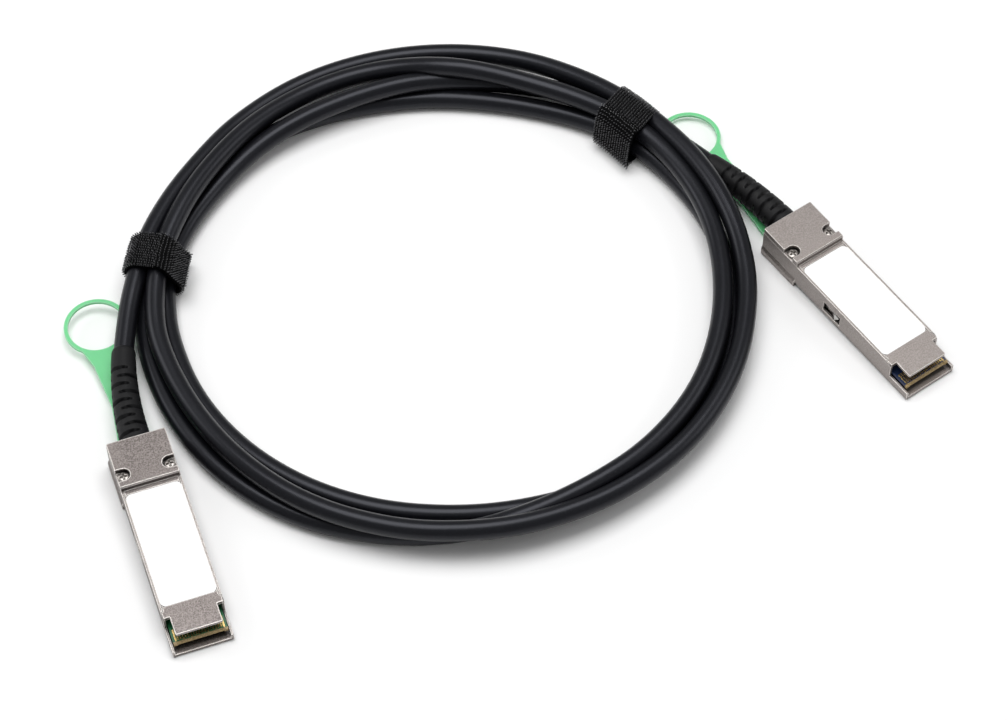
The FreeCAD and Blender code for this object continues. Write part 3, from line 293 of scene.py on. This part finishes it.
def bright_metal(name, tone, rough):
    mat, tree, bsdf = new_material(name)
    lines = noise(tree, scale=2400, detail=3, rough=0.6)
    dark = tuple(c * 0.82 for c in tone)
    pale = tuple(min(c * 1.25, 0.95) for c in tone)
    normal = round_edges(tree, 0.0001)
    brushed = ramp(tree, lines, [(0.3, dark), (0.7, tone)])
    # painted highlight: the edges are brightened to the pale tone
    highlit_edges = mix(tree, edge_highlight_mask(tree, normal, reach=0.12), brushed, pale)
    # painted shade: the colour is darkened in recesses
    colour = mix(tree, 1.0, highlit_edges, painted_recess_shade(tree, reach=0.0012, dark=0.06), "MULTIPLY")
    paint(tree, bsdf, colour, ramp(tree, lines, [(0.3, rough + 0.1), (0.7, rough - 0.04)]))
    bsdf.inputs["Metallic"].default_value = 1.0
    bump(tree, bsdf, lines, depth=0.00001, strength=0.4, normal=normal)
    return mat


def cable_jacket():
    """Satin black jacket with fine scuffs and dust; its reflection is dimmed between the strands as
    painted shade.
    """
    mat, tree, bsdf = new_material("cable_jacket")
    fine = noise(tree, scale=1500, detail=4, rough=0.6)
    cloud = noise(tree, scale=38, detail=3, rough=0.5)
    dust = noise(tree, scale=420, detail=2, rough=0.8)
    tone = mix(tree, cloud, (0.003, 0.0031, 0.0042), (0.006, 0.0063, 0.0082))
    scuffed = mix(tree, ramp(tree, fine, [(0.5, 0.0), (0.8, 0.3)]), tone, (0.024, 0.025, 0.029))
    dusty = mix(tree, ramp(tree, dust, [(0.70, 0.0), (0.78, 0.25)]), scuffed, (0.06, 0.06, 0.065))
    paint(tree, bsdf, dusty, ramp(tree, cloud, [(0.3, 0.28), (0.7, 0.35)]))
    # painted shade: the reflection is dimmed in the gaps between strands
    gloss = mix(tree, 1.0, painted_recess_shade(tree, reach=0.007, dark=0.0), (0.3, 0.3, 0.3), "MULTIPLY")
    tree.links.new(gloss, bsdf.inputs["Specular IOR Level"])
    bsdf.inputs["Specular Tint"].default_value = (0.88, 0.90, 1.0, 1.0)
    bump(tree, bsdf, fine, depth=0.000012, strength=0.35)
    return mat


def boot_rubber():
    mat, tree, bsdf = new_material("boot_rubber")
    grain = noise(tree, scale=2800, detail=4, rough=0.65)
    cloud = noise(tree, scale=70, detail=3, rough=0.5)
    colour = mix(tree, cloud, (0.0045, 0.0045, 0.005), (0.009, 0.009, 0.010))
    paint(tree, bsdf, colour, ramp(tree, grain, [(0.3, 0.62), (0.7, 0.46)]))
    bsdf.inputs["Specular IOR Level"].default_value = 0.22
    bump(tree, bsdf, grain, depth=0.00003, strength=0.5)
    return mat


def label_paper():
    mat, tree, bsdf = new_material("label_paper")
    fibre = noise(tree, scale=1500, detail=5, rough=0.7)
    colour = ramp(tree, fibre, [(0.3, (0.93, 0.93, 0.925)), (0.7, (0.97, 0.97, 0.965))])
    paint(tree, bsdf, colour, ramp(tree, fibre, [(0.3, 0.5), (0.7, 0.4)]))
    bump(tree, bsdf, fibre, depth=0.000012, strength=0.3)
    return mat


def tab_plastic():
    mat, tree, bsdf = new_material("tab_plastic")
    grain = noise(tree, scale=2200, detail=3, rough=0.55)
    cloud = noise(tree, scale=110, detail=2, rough=0.5)
    normal = round_edges(tree, 0.0006)
    body = mix(tree, cloud, (0.145, 0.59, 0.25), (0.18, 0.67, 0.30))
    # painted highlight: the edges are paler green
    colour = mix(tree, edge_highlight_mask(tree, normal, reach=0.15), body, (0.50, 0.86, 0.60))
    paint(tree, bsdf, colour, ramp(tree, grain, [(0.3, 0.5), (0.7, 0.4)]))
    bsdf.inputs["Subsurface Weight"].default_value = 0.35
    bsdf.inputs["Subsurface Radius"].default_value = (0.0006, 0.0018, 0.0008)
    bump(tree, bsdf, grain, depth=0.00002, strength=0.3, normal=normal)
    return mat


def strap_nylon(name, dark, light, rough, gloss):
    mat, tree, bsdf = new_material(name)
    fuzz = noise(tree, scale=1900, detail=4, rough=0.7)
    cloud = noise(tree, scale=240, detail=2, rough=0.5)
    pale = tuple(c * 3 for c in light)
    colour = mix(tree, ramp(tree, fuzz, [(0.5, 0.0), (0.8, 0.4)]), mix(tree, cloud, dark, light), pale)
    paint(tree, bsdf, colour, ramp(tree, fuzz, [(0.3, rough + 0.12), (0.7, rough - 0.06)]))
    bsdf.inputs["Specular IOR Level"].default_value = gloss
    bump(tree, bsdf, fuzz, depth=0.00006, strength=0.5)
    return mat


def card_front(tree, plug):
    """1 on the bare front of a plug's card and 0 behind it, found along the plug's axis."""
    mount = next(m for m in frame["record"]["mounts"] if m["name"] == "card_edge_" + plug)
    forward = Vector(mount["axis"]).normalized()
    tip = Vector(mount["pos_m"]).dot(forward)
    source = tree.nodes.new("ShaderNodeTexCoord")
    node = tree.nodes.new("ShaderNodeMapRange")
    node.inputs["From Min"].default_value = tip - CARD_BARE * MM
    node.inputs["From Max"].default_value = tip - (CARD_BARE - CARD_BLEND) * MM
    tree.links.new(dot_product(tree, source.outputs["Object"], forward), node.inputs["Value"])
    return node.outputs["Result"]


def solder_mask(name, plug, dark, light):
    mat, tree, bsdf = new_material(name)
    weave = noise(tree, scale=1400, detail=3, rough=0.5)
    speck = noise(tree, scale=2600, detail=3, rough=0.6)
    mask = ramp(tree, weave, [(0.35, dark), (0.65, light)])
    bare = ramp(tree, speck, [(0.35, (0.20, 0.13, 0.05)), (0.65, (0.50, 0.37, 0.17))])
    colour = mix(tree, card_front(tree, plug), mask, bare)
    paint(tree, bsdf, colour, ramp(tree, weave, [(0.3, 0.34), (0.7, 0.26)]))
    bump(tree, bsdf, weave, depth=0.00001, strength=0.4)
    return mat


def moulded_black():
    mat, tree, bsdf = new_material("moulded_black")
    grain = noise(tree, scale=4200, detail=3, rough=0.6)
    tree.links.new(ramp(tree, grain, [(0.3, 0.02), (0.7, 0.045)]), bsdf.inputs["Base Color"])
    bsdf.inputs["Roughness"].default_value = 0.55
    bump(tree, bsdf, grain, depth=0.00002, strength=0.4)
    return mat


# The edge colours are painted highlights along the plates' edges.
NICKEL_A = cast_nickel("cast_nickel_a", dark=(0.115, 0.100, 0.094), light=(0.25, 0.222, 0.211),
                       edge=(0.90, 0.86, 0.82), highlight_width=0.00055, rough=0.42, contrast=0.055)
NICKEL_B = cast_nickel("cast_nickel_b", dark=(0.24, 0.213, 0.20), light=(0.36, 0.323, 0.305),
                       edge=(0.80, 0.76, 0.72), highlight_width=0.00042, rough=0.40, contrast=0.11)
STEEL = bright_metal("stamped_steel", (0.60, 0.59, 0.57), 0.28)
SCREW = bright_metal("screw_plate", (0.42, 0.39, 0.365), 0.34)
FOIL = bright_metal("wire_foil", (0.66, 0.68, 0.72), 0.3)
FERRULE = bright_metal("crimped_metal", (0.58, 0.57, 0.55), 0.34)
GOLD = bright_metal("contact_gold", (0.70, 0.51, 0.20), 0.26)
JACKET = cable_jacket()
RUBBER = boot_rubber()
PAPER = label_paper()
TAB = tab_plastic()
TAPE = strap_nylon("hook_tape", dark=(0.0006, 0.0006, 0.0008), light=(0.002, 0.002, 0.0022),
                   rough=0.7, gloss=0.06)
# The hooks are painted much lighter than the tape, as a painted glint along their rows.
GLINT_HOOKS = strap_nylon("nylon_hooks_painted_glint", dark=(0.016, 0.016, 0.017), light=(0.09, 0.09, 0.095),
                    rough=0.28, gloss=0.8)
MASK_GREEN = solder_mask("solder_mask_green", "a", dark=(0.010, 0.10, 0.035), light=(0.02, 0.16, 0.06))
MASK_BLUE = solder_mask("solder_mask_blue", "b", dark=(0.010, 0.020, 0.06), light=(0.018, 0.035, 0.10))
PACKAGE = moulded_black()

FINISH = {
    "base_shell_a": NICKEL_A, "top_cover_a": NICKEL_A,
    "base_shell_b": NICKEL_B, "top_cover_b": NICKEL_B,
    "paddle_card_a": MASK_GREEN, "paddle_card_b": MASK_BLUE,
    "card_contacts": GOLD, "card_components": PACKAGE,
    "inner_wires": FOIL, "crimp_ferrule": FERRULE,
    "latch_springs": STEEL, "latch_slider": STEEL,
    "boot": RUBBER, "pull_tab": TAB, "label": PAPER,
    "cover_screws": SCREW, "strap": TAPE, "cable": JACKET,
}


def finish_of(node_name):
    """Looks a solid up by its whole name, its name without the last word, or its first word."""
    for key in (node_name, node_name.rsplit("_", 1)[0], node_name.split("_")[0]):
        if key in FINISH:
            return FINISH[key]


for name, node in NODES.items():
    for slot in node.material_slots:
        slot.material = finish_of(name)


# ------------------------------------------------------------------ the cable
def cable_points():
    points = list(EXIT_A)
    for bearing, distance, height in TURNS:
        angle = math.radians(bearing)
        x = COIL_CENTRE[0] + TURN_SPREAD * distance * math.cos(angle)
        y = COIL_CENTRE[1] + TURN_SPREAD * distance * math.sin(angle)
        points.append((x, y, height))
    return points + ENTRY_B


def make_cable():
    data = bpy.data.curves.new("wound_cable", "CURVE")
    data.dimensions = "3D"
    data.bevel_depth = CABLE_D / 2 * MM
    data.bevel_resolution = 7
    data.resolution_u = 8
    spline = data.splines.new("NURBS")
    points = cable_points()
    spline.points.add(len(points) - 1)
    for point, (x, y, z) in zip(spline.points, points):
        point.co = (x * MM, y * MM, z * MM, 1.0)
    spline.order_u = 3
    spline.use_endpoint_u = True
    data.materials.append(JACKET)
    cable = bpy.data.objects.new("wound_cable", data)
    bpy.context.scene.collection.objects.link(cable)
    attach(cable, "cable_assembly")
    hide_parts("cable_coil", "cable_tail_a", "cable_tail_b")
    start = tuple(v * MM for v in EXIT_A[0])


make_cable()


# ------------------------------------------------------------------ mesh helpers
def plug_matrix(name):
    """Places a plug's own axes: x forward from the mouth, y to its left, z up from its foot."""
    mount = next(m for m in frame["record"]["mounts"] if m["name"] == "plug_" + name)
    forward = Vector(mount["axis"]).normalized()
    side = Vector((0, 0, 1)).cross(forward).normalized()
    up = forward.cross(side)
    matrix = Matrix((forward, side, up)).transposed().to_4x4()
    matrix.translation = Vector(mount["pos_m"]) - up * MOUNT_HEIGHT * MM
    return matrix


def add_piece(name, verts, faces, materials, smooth=True, second_from=None):
    """Makes a piece of the assembly; faces from the second_from one on have the second material."""
    mesh = bpy.data.meshes.new(name)
    mesh.from_pydata(verts, [], faces)
    mesh.polygons.foreach_set("use_smooth", [smooth] * len(faces))
    for material in materials:
        mesh.materials.append(material)
    if second_from is not None:
        mesh.polygons.foreach_set("material_index", [int(i >= second_from) for i in range(len(faces))])
    mesh.validate()
    piece = bpy.data.objects.new(name, mesh)
    bpy.context.scene.collection.objects.link(piece)
    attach(piece, "cable_assembly")
    return piece


def grid_faces(rows, columns, first=0):
    """Quads between rows of vertices, each row a closed ring, from the first vertex on."""
    faces = []
    for i in range(rows - 1):
        a, b = first + i * columns, first + (i + 1) * columns
        for j in range(columns):
            k = (j + 1) % columns
            faces.append((a + j, a + k, b + k, b + j))
    return faces


def soft_step(value, centre, half, soft):
    """1 within half of the centre, falling to 0 over the soft distance."""
    t = (half + soft - abs(value - centre)) / soft
    t = min(max(t, 0.0), 1.0)
    return t * t * (3 - 2 * t)


# ------------------------------------------------------------------ boots
def slot_depth(along, angle):
    """Depth of the boot's flex slots, which are crescents, two in a row and turned row by row."""
    deepest = 0.0
    for row in range(BOOT_ROWS):
        for turn in (0, 180):
            centre = (BOOT_FIRST_ANGLE + 90 * (row % 2) + turn) % 360
            away = (angle - centre + 180) % 360 - 180
            share = abs(away) / (BOOT_SLOT_SPAN / 2)
            if share < 1:
                half = BOOT_SLOT_HALF * math.sqrt(1 - share * share)
                middle = BOOT_FIRST + BOOT_PITCH * row
                depth = BOOT_SLOT_DEPTH * soft_step(along, middle, half, BOOT_SLOT_SOFT)
                deepest = max(deepest, depth)
    return deepest


def boot_radius(along):
    """Tapers from the root to the tip, whose lip is rounded."""
    radius = BOOT_R + (BOOT_TIP_R - BOOT_R) * along / BOOT_LENGTH
    lip = max(0.0, 1 - (BOOT_LENGTH - along) / BOOT_LIP)
    return radius - BOOT_LIP_DROP * lip * lip


def boot_stations():
    count = int((BOOT_ROOT + BOOT_LENGTH) / BOOT_STEP) + 1
    return [-BOOT_ROOT + BOOT_STEP * i for i in range(count)] + [BOOT_LENGTH]


def boot_arc(plug, aim):
    """Bends the boot's axis on an arc that leaves the plug straight back and ends at the aim.
    Returns a function from a length along it to the cross-section's middle, side and up vectors."""
    start = plug @ Vector((-BODY_LENGTH * MM, 0, CABLE_AXIS * MM))
    back = (plug.to_3x3() @ Vector((-1, 0, 0))).normalized()
    chord = Vector(aim) * MM - start
    side = (chord - back * chord.dot(back)).normalized()
    half_turn = math.atan2(chord.dot(side), chord.dot(back))
    radius = chord.length / (2 * math.sin(half_turn))
    across = back.cross(side)

    def section(along):
        turn = along * MM / radius
        middle = start + back * radius * math.sin(turn) + side * radius * (1 - math.cos(turn))
        outward = (side * math.cos(turn) - back * math.sin(turn)).normalized()
        heading = across.cross(outward)
        upward = (Vector((0, 0, 1)) - heading * heading.z).normalized()
        return middle, upward.cross(heading), upward
    return section


def make_boot(name, aim):
    section = boot_arc(plug_matrix(name), aim)
    stations = boot_stations()
    verts = []
    for along in stations:
        middle, level, upward = section(along)
        for j in range(BOOT_SIDES):
            angle = 360 * j / BOOT_SIDES
            a = math.radians(angle)
            away = boot_radius(max(along, 0)) - slot_depth(along, angle)
            verts.append(middle + (level * math.cos(a) + upward * math.sin(a)) * away * MM)
    bore = [middle + (v - middle) * (BOOT_BORE_R / BOOT_TIP_R) for v in verts[-BOOT_SIDES:]]
    faces = grid_faces(len(stations) + 1, BOOT_SIDES)
    piece = add_piece("moulded_boot_" + name, verts + bore, faces, [RUBBER])
    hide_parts("boot_" + name, "cable_end_" + name)


for plug_name in PLUGS:
    make_boot(plug_name, BOOT_AIMS[plug_name])


# ------------------------------------------------------------------ straps
def taut_outline(strands, reach, count):
    """Taut outline round the strands at the given reach, as evenly spaced (outward, up) points."""
    corners = []
    for step in range(HULL_STEPS):
        a = math.radians(360 * step / HULL_STEPS)
        x, z = max(strands, key=lambda s: s[0] * math.cos(a) + s[1] * math.sin(a))
        corners.append(Vector((x + reach * math.cos(a), z + reach * math.sin(a))))
    lengths = [(corners[i] - corners[i - 1]).length for i in range(len(corners))]
    spacing = sum(lengths) / count
    outline = []
    walked = 0.0
    for i, length in enumerate(lengths):
        while len(outline) < count and len(outline) * spacing <= walked + length:
            share = (len(outline) * spacing - walked) / max(length, 1e-9)
            outline.append(corners[i - 1].lerp(corners[i], share))
        walked += length
    return outline


def outline_normals(outline):
    normals = []
    for i in range(len(outline)):
        ahead = outline[(i + 1) % len(outline)] - outline[i - 1]
        normals.append(Vector((ahead.y, -ahead.x)).normalized())
    return normals


def strap_place(spec):
    """Maps (along the cable, outward, up) onto the wound cable at a strap."""
    def place(along, outward, up):
        away = spec["middle"] + outward + spec["lean"] * along
        angle = math.radians(spec["bearing"]) + (along + spec["tilt"] * outward) / away
        x = COIL_CENTRE[0] + away * math.cos(angle)
        y = COIL_CENTRE[1] + away * math.sin(angle)
        return Vector((x, y, up)) * MM
    return place


def loose_end(spec, outer, normals, lap):
    """The loose end's two outlines over a lap of the outer one, and its shift at each point."""
    low, high, shifts = [], [], []
    for i in lap:
        share = (i - lap.start) / len(lap)
        lift = spec["lift"] * share ** 3 + HOOK_HEIGHT / 2
        low.append(outer[i] + normals[i] * lift)
        high.append(outer[i] + normals[i] * (lift + STRAP_THICK))
        shifts.append(spec["skew"] * share)
    return low, high, shifts


def add_band(place, inner, outer, shifts, half, closed, verts, faces):
    """A tape between two outlines, shifted along the cable point by point; closed, or with end faces."""
    first = len(verts)
    count = len(inner)
    for outline, edge in ((inner, -1), (outer, -1), (outer, 1), (inner, 1)):
        for point, shift in zip(outline, shifts):
            verts.append(place(shift + edge * half, point.x, point.y))
    for side in range(4):
        a, b = first + side * count, first + (side + 1) % 4 * count
        for j in range(count if closed else count - 1):
            k = (j + 1) % count
            faces.append((a + j, a + k, b + k, b + j))
    if not closed:
        faces.append(tuple(first + side * count for side in range(4)))
        faces.append(tuple(first + side * count + count - 1 for side in (3, 2, 1, 0)))


def add_hook(place, point, normal, along, lean, verts, faces):
    """One hook of the tape: a slim leaning prism on the outline's point."""
    tangent = Vector((-normal.y, normal.x))
    tip = point + normal * HOOK_HEIGHT + tangent * lean
    first = len(verts)
    for centre, half, wide in ((point, HOOK_HALF, HOOK_WIDE), (tip, HOOK_TIP_HALF, HOOK_TIP_WIDE)):
        for side, edge in ((-1, -1), (1, -1), (1, 1), (-1, 1)):
            corner = centre + tangent * side * half
            verts.append(place(along + edge * wide, corner.x, corner.y))
    for j in range(4):
        k = (j + 1) % 4
        faces.append((first + j, first + k, first + 4 + k, first + 4 + j))
    faces.append((first + 4, first + 5, first + 6, first + 7))


def add_hooks(place, spec, outline, normals, shifts, verts, faces):
    """Rows of hooks that lean at random; there are none on the floor or beside the tab."""
    rng = random.Random(spec["seed"])
    half = spec["width"] / 2
    rows = int(spec["width"] / HOOK_PITCH)
    for point, normal, shift in zip(outline, normals, shifts):
        beside_tab = point.x > 0 and point.y < HOOK_FLOOR
        if beside_tab or (point + normal * HOOK_HEIGHT).y < 0:
            continue
        for row in range(rows + 1):
            along = shift + (2 * row / rows - 1) * half
            add_hook(place, point, normal, along, HOOK_LEAN * rng.uniform(-1, 1), verts, faces)


def make_strap(name, spec):
    place = strap_place(spec)
    half = spec["width"] / 2
    inner = taut_outline(spec["strands"], CABLE_D / 2 + STRAP_GAP, STRAP_POINTS)
    normals = outline_normals(inner)
    outer = [p + n * STRAP_THICK for p, n in zip(inner, normals)]
    shifts = [STRAP_WAVE * math.sin(4 * math.pi * i / STRAP_POINTS + spec["seed"])
              for i in range(STRAP_POINTS)]
    verts, faces = [], []
    add_band(place, inner, outer, shifts, half, True, verts, faces)
    first, last = (int(share * STRAP_POINTS) for share in spec["lap"])
    low, high, end_shifts = loose_end(spec, outer, normals, range(first, last))
    add_band(place, low, high, end_shifts, half, False, verts, faces)
    tape_faces = len(faces)
    outer[first:last] = high
    shifts[first:last] = end_shifts
    add_hooks(place, spec, outer, normals, shifts, verts, faces)
    piece = add_piece(name + "_hooks", verts, faces, [TAPE, GLINT_HOOKS],
                      smooth=False, second_from=tape_faces)
    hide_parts(name)


for strap_name, strap_spec in STRAPS.items():
    make_strap(strap_name, strap_spec)


# ------------------------------------------------------------------ labels
def label_ring(inset, height):
    """Outline of the label as (x, y, z), with round corners, at an inset from its edge."""
    back, front = LABEL_SPAN
    radius = LABEL_CORNER - inset
    ring = []
    for corner, (end, side) in enumerate(((front, 1), (back, 1), (back, -1), (front, -1))):
        x = end + (LABEL_CORNER if end == back else -LABEL_CORNER)
        y = side * (LABEL_HALF - LABEL_CORNER)
        for step in range(LABEL_STEPS + 1):
            a = math.pi / 2 * (corner + step / LABEL_STEPS)
            ring.append((x + radius * math.cos(a), y + radius * math.sin(a), height))
    return ring


def make_label(name):
    rings = [label_ring(0, LABEL_BOTTOM), label_ring(0, LABEL_TOP - LABEL_EDGE_DROP),
             label_ring(LABEL_EDGE_INSET, LABEL_TOP)]
    count = len(rings[0])
    matrix = plug_matrix(name)
    verts = [matrix @ (Vector(v) * MM) for ring in rings for v in ring]
    faces = grid_faces(len(rings), count)
    faces.append(tuple(range(2 * count, 3 * count)))
    faces.append(tuple(reversed(range(count))))
    piece = add_piece("sticker_" + name, verts, faces, [PAPER], smooth=False)
    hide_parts("label_" + name)


for plug_name in PLUGS:
    make_label(plug_name)


# ------------------------------------------------------------------ screws
def cross_depth(x, y):
    """Depth of the cross recess at a point of a screw's head."""
    depth = 0.0
    for a, b in ((x, y), (y, x)):
        across = soft_step(a, 0, SCREW_SLOT_HALF, SCREW_SLOT_SOFT)
        depth = max(depth, across * soft_step(b, 0, SCREW_SLOT_REACH, SCREW_SLOT_END))
    return depth * SCREW_RECESS


def screw_verts(matrix, side):
    """Rings of a domed head from its middle outwards, and last the ring where it sits."""
    verts = []
    turns = [2 * math.pi * j / SCREW_SIDES for j in range(SCREW_SIDES)]
    for ring in range(SCREW_RINGS + 1):
        share = ring / SCREW_RINGS
        crown = SCREW_HEAD * (1 - SCREW_CROWN * share ** 4)
        for a in turns:
            x, y = share * SCREW_R * math.cos(a), share * SCREW_R * math.sin(a)
            verts.append((x, y, crown - cross_depth(x, y)))
    verts += [(SCREW_R * math.cos(a), SCREW_R * math.sin(a), 0) for a in turns]
    base = Vector((SCREW_X, side * SCREW_Y, SCREW_SEAT))
    return [matrix @ ((base + Vector(v)) * MM) for v in verts]


def make_screws():
    verts, faces = [], []
    for name in PLUGS:
        for side in (-1, 1):
            faces += grid_faces(SCREW_RINGS + 2, SCREW_SIDES, len(verts))
            verts += screw_verts(plug_matrix(name), side)
    piece = add_piece("cross_screws", verts, faces, [SCREW])
    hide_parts("cover_screws")


make_screws()


# ------------------------------------------------------------------ floor, light, camera
def make_floor():
    mat, tree, bsdf = new_material("floor_white")
    soft = noise(tree, scale=6, detail=2, rough=0.5)
    tree.links.new(ramp(tree, soft, [(0.3, 0.93), (0.7, 0.95)]), bsdf.inputs["Base Color"])
    bsdf.inputs["Roughness"].default_value = 0.6
    mesh = bpy.data.meshes.new("floor")
    corners = [(FLOOR_HALF * x, FLOOR_HALF * y, 0) for x, y in ((-1, -1), (1, -1), (1, 1), (-1, 1))]
    mesh.from_pydata(corners, [], [(0, 1, 2, 3)])
    mesh.materials.append(mat)
    floor = bpy.data.objects.new("floor", mesh)
    floor.location.z = -FLOOR_DROP
    bpy.context.scene.collection.objects.link(floor)


def soft_light(name, place, size, power):
    data = bpy.data.lights.new(name, "AREA")
    data.shape = "RECTANGLE"
    data.size, data.size_y = size
    data.energy = power
    light = bpy.data.objects.new(name, data)
    light.location = place
    aim = Vector(LIGHT_AIM) - Vector(place)
    light.rotation_euler = aim.to_track_quat("-Z", "Y").to_euler()
    bpy.context.scene.collection.objects.link(light)


def make_studio():
    world = bpy.data.worlds.new("studio")
    world.use_nodes = True
    background = world.node_tree.nodes["Background"]
    background.inputs["Color"].default_value = (1, 1, 1, 1)
    background.inputs["Strength"].default_value = STUDIO_STRENGTH
    bpy.context.scene.world = world
    bpy.context.scene.view_settings.view_transform = "Standard"


def make_camera():
    data = bpy.data.cameras.new("camera")
    data.lens = CAMERA_LENS
    data.sensor_width = CAMERA_SENSOR
    data.clip_start = 0.01
    camera = bpy.data.objects.new("camera", data)
    tilt = Matrix.Rotation(math.radians(90 - CAMERA_DOWN), 4, "X")
    roll = Matrix.Rotation(math.radians(CAMERA_ROLL), 4, "Z")
    camera.matrix_world = Matrix.Translation(CAMERA_PLACE) @ tilt @ roll
    bpy.context.scene.collection.objects.link(camera)
    bpy.context.scene.camera = camera


make_floor()
for light_name, light_spec in LIGHTS.items():
    soft_light(light_name, **light_spec)
make_studio()
make_camera()
